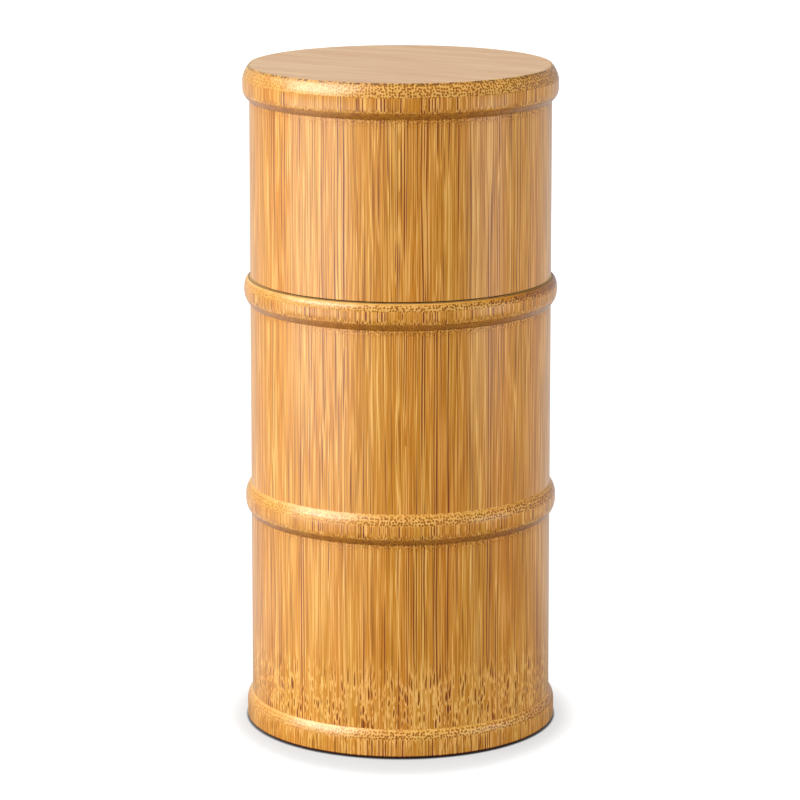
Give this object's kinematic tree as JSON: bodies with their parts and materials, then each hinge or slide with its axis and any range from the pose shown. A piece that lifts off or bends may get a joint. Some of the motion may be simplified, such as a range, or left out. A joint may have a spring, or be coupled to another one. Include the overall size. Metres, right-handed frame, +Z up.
{
  "type": "bamboo canister",
  "caption": "Round lidded storage canister turned from natural bamboo culm, with beaded rims, an inner neck with a silicone seal, and a lid that lifts off and turns.",
  "frame": {"origin": "middle of the foot ring, on the surface that the canister stands on", "axes": "+Z up along the canister's axis, from foot to lid; the canister is round, so X and Y are free"},
  "size_m": [0.09, 0.09, 0.1921],
  "materials": {
    "turned_culm": "turned bamboo culm, satin clear lacquer",
    "pale_bamboo": "bored and turned bamboo, unlacquered",
    "silicone": "moulded silicone, translucent white",
    "sanded_board": "flat-sanded bamboo board, satin clear lacquer"
  },
  "bodies": {
    "canister": {"body_culm": "turned_culm", "neck_sleeve": "pale_bamboo"},
    "seal": {"seal_ring": "silicone"},
    "lid": {"lid_culm": "turned_culm", "lid_top_disc": "sanded_board"}
  },
  "joints": [
    {"name": "lid_turn", "type": "hinge", "parent": "canister", "child": "seal", "pos_m": [0, 0, 0.1396], "axis": [0, 0, 1], "continuous": true},
    {"name": "lid_lift", "type": "slide", "parent": "seal", "child": "lid", "axis": [0, 0, 1], "range_m": [0, 0.12]}
  ]
}
